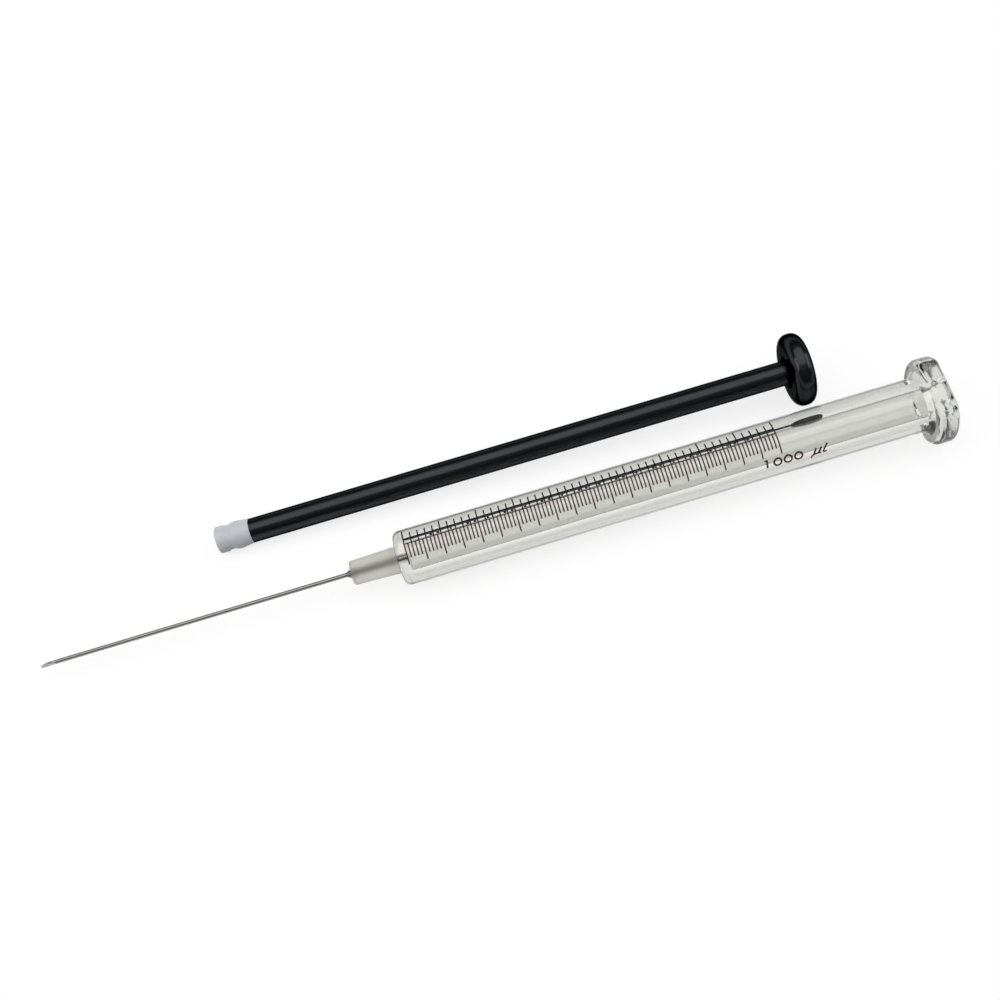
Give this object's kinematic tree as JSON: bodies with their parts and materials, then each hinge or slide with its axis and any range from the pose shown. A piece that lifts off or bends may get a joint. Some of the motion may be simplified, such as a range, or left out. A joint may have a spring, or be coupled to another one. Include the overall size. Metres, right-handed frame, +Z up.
{
  "type": "microsyringe",
  "caption": "Glass gas-tight microsyringe with a printed scale, finger flange, cemented needle and luer cone; its black plunger with a white seal lies drawn out beside it.",
  "frame": {"origin": "on the surface that the syringe and its plunger lie on, under the middle of the whole", "axes": "+Z up; +X along the barrel, from the needle's point to the finger flange; +Y to the plunger's side"},
  "size_m": [0.1485, 0.0246, 0.012],
  "materials": {
    "borosilicate_glass": "clear polished borosilicate glass; the luer cone is ground matt",
    "needle_steel": "drawn stainless steel tube",
    "cement": "clear grey cement",
    "black_anodised": "black anodised, smooth with a soft gloss",
    "ptfe": "white PTFE, waxy",
    "brown_enamel": "fired red-brown enamel",
    "black_enamel": "fired enamel, nearly black"
  },
  "bodies": {
    "syringe": {"barrel": "borosilicate_glass", "needle": "needle_steel", "needle_cement": "cement", "scale_base_line": "brown_enamel", "scale_window_line": "black_enamel", "scale_short_marks": "brown_enamel", "scale_long_marks": "brown_enamel", "scale_window_marks": "black_enamel"},
    "plunger": {"plunger_rod": "black_anodised", "plunger_tip": "ptfe", "plunger_button": "black_anodised"}
  },
  "joints": [
    {"name": "plunger_stroke", "type": "slide", "parent": "syringe", "child": "plunger", "axis": [-0.9999, 0.0141, 0], "range_m": [0, 0.06]}
  ]
}
